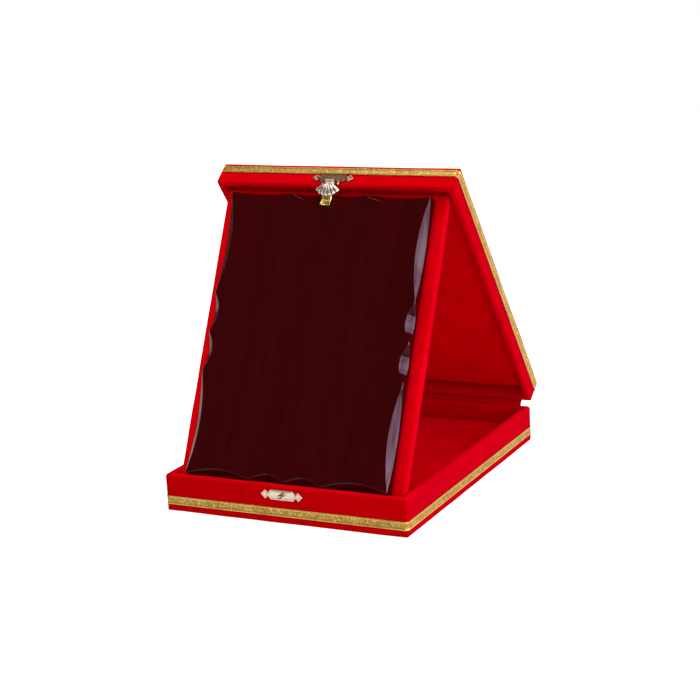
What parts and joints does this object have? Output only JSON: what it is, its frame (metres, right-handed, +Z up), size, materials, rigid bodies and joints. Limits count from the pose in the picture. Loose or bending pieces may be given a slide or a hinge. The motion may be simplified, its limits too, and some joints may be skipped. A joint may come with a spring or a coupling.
{
  "type": "plaque presentation box",
  "caption": "Velvet-covered presentation box standing open as an easel: shallow tray, leaning lid, hinged panel with a scooped lacquered plaque, gilt braid and a shell hasp.",
  "frame": {"origin": "centre of the base's underside, on the surface that the box stands on", "axes": "+Z up, +Y from the front of the base towards the lid's hinge at the rear, +X to the right seen from the front"},
  "size_m": [0.1808, 0.2476, 0.2217],
  "materials": {
    "red_velvet": "short cut pile velvet, bright red, soft sheen",
    "velvet_lining": "short cut pile velvet over thin foam, shaded red",
    "fibreboard": "raw medium density fibreboard",
    "backing_paper": "matt dark red flocked paper",
    "gilt_braid": "woven metallic thread braid, bright cords along both edges",
    "cherry_lacquer": "dark cherry lacquer, glossy, over fibreboard",
    "mounting_tape": "white foam mounting tape",
    "old_gilt": "pressed sheet brass, pale gilt plating, satin",
    "bright_brass": "yellow brass, satin polish"
  },
  "bodies": {
    "base": {"base_bottom_board": "fibreboard", "base_braid": "gilt_braid", "base_floor_pad": "velvet_lining", "base_front_wall": "fibreboard", "base_left_wall": "fibreboard", "base_rear_wall": "fibreboard", "base_right_wall": "fibreboard", "base_underside_sheet": "backing_paper", "base_velvet_cover": "red_velvet", "catch_nail_left": "bright_brass", "catch_nail_right": "bright_brass", "catch_plate": "old_gilt", "catch_stud": "bright_brass", "panel_hinge_cloth_floor": "velvet_lining", "rear_hinge_cloth_base": "red_velvet"},
    "lid": {"hasp_nail_left": "bright_brass", "hasp_nail_right": "bright_brass", "hasp_pin": "bright_brass", "hasp_plate": "old_gilt", "lid_braid": "gilt_braid", "lid_front_wall": "fibreboard", "lid_left_wall": "fibreboard", "lid_lining_pad": "velvet_lining", "lid_rear_wall": "fibreboard", "lid_right_wall": "fibreboard", "lid_top_board": "fibreboard", "lid_velvet_cover": "red_velvet", "rear_hinge_cloth_lid": "red_velvet"},
    "hasp": {"hasp_shell": "old_gilt", "hasp_tongue": "bright_brass"},
    "panel": {"panel_board": "fibreboard", "panel_hinge_cloth_end": "velvet_lining", "panel_velvet_cover": "red_velvet", "plaque": "cherry_lacquer", "plaque_tape_lower_left": "mounting_tape", "plaque_tape_lower_right": "mounting_tape", "plaque_tape_upper_left": "mounting_tape", "plaque_tape_upper_right": "mounting_tape"}
  },
  "joints": [
    {"name": "lid_hinge", "type": "hinge", "parent": "base", "child": "lid", "pos_m": [0, 0.1165, 0.026], "axis": [-1, 0, 0], "range_deg": [0, 127.4]},
    {"name": "panel_hinge", "type": "hinge", "parent": "base", "child": "panel", "pos_m": [0, -0.0999, 0.0159], "axis": [-1, 0, 0], "range_deg": [0, 63.7]},
    {"name": "hasp_hinge", "type": "hinge", "parent": "lid", "child": "hasp", "pos_m": [0, -0.02081, 0.21389], "axis": [-1, 0, 0], "range_deg": [0, 166]}
  ],
  "couplings": [
    {"joint": "panel_hinge", "follows": "lid_hinge", "ratio": 0.5}
  ]
}
